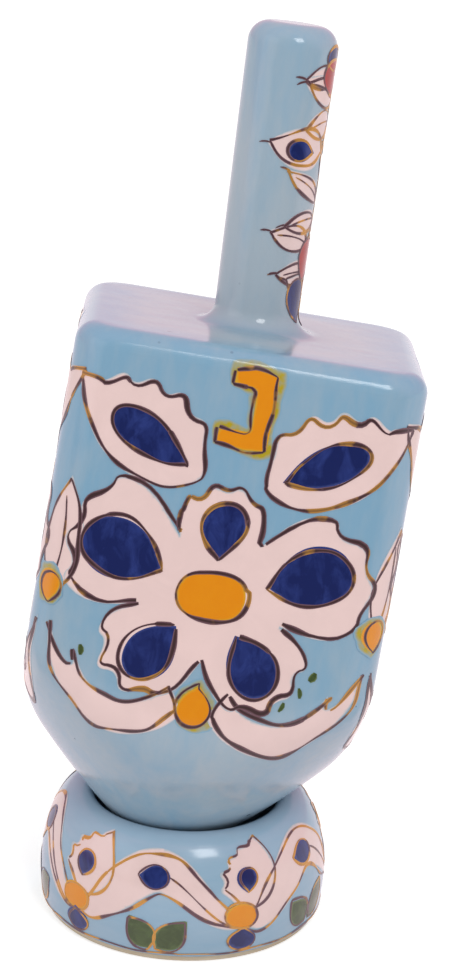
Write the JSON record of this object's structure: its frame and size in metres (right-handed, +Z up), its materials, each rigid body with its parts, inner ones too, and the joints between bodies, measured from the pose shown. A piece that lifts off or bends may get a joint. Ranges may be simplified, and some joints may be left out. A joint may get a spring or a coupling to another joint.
{
  "type": "dreidel with stand",
  "caption": "Square glazed ceramic spinning top with a round stem and a cone point, leaning in a low round stand from which it lifts out to spin.",
  "frame": {"origin": "centre of the stand's foot, on the table", "axes": "+Z up, +Y away from the viewer of the painted front face, +X to that viewer's right"},
  "size_m": [0.0565, 0.0593, 0.1317],
  "materials": {
    "glaze": "clear gloss glaze over pale sky blue, with painted colours",
    "bare_clay": "unglazed, fine matt clay"
  },
  "bodies": {
    "stand": {"stand_ring": "glaze", "stand_foot": "bare_clay"},
    "point": {"tip": "bare_clay"},
    "dreidel": {"dreidel_shell": "glaze", "stem": "glaze", "slip_fillet": "glaze"}
  },
  "joints": [
    {"name": "dreidel_lift", "type": "slide", "parent": "stand", "child": "point", "axis": [0, 0, 1], "range_m": [0, 0.06]},
    {"name": "dreidel_spin", "type": "hinge", "parent": "point", "child": "dreidel", "pos_m": [-0.00296, -0.00439, 0.00838], "axis": [0.1191, 0.1766, 0.977], "continuous": true}
  ]
}
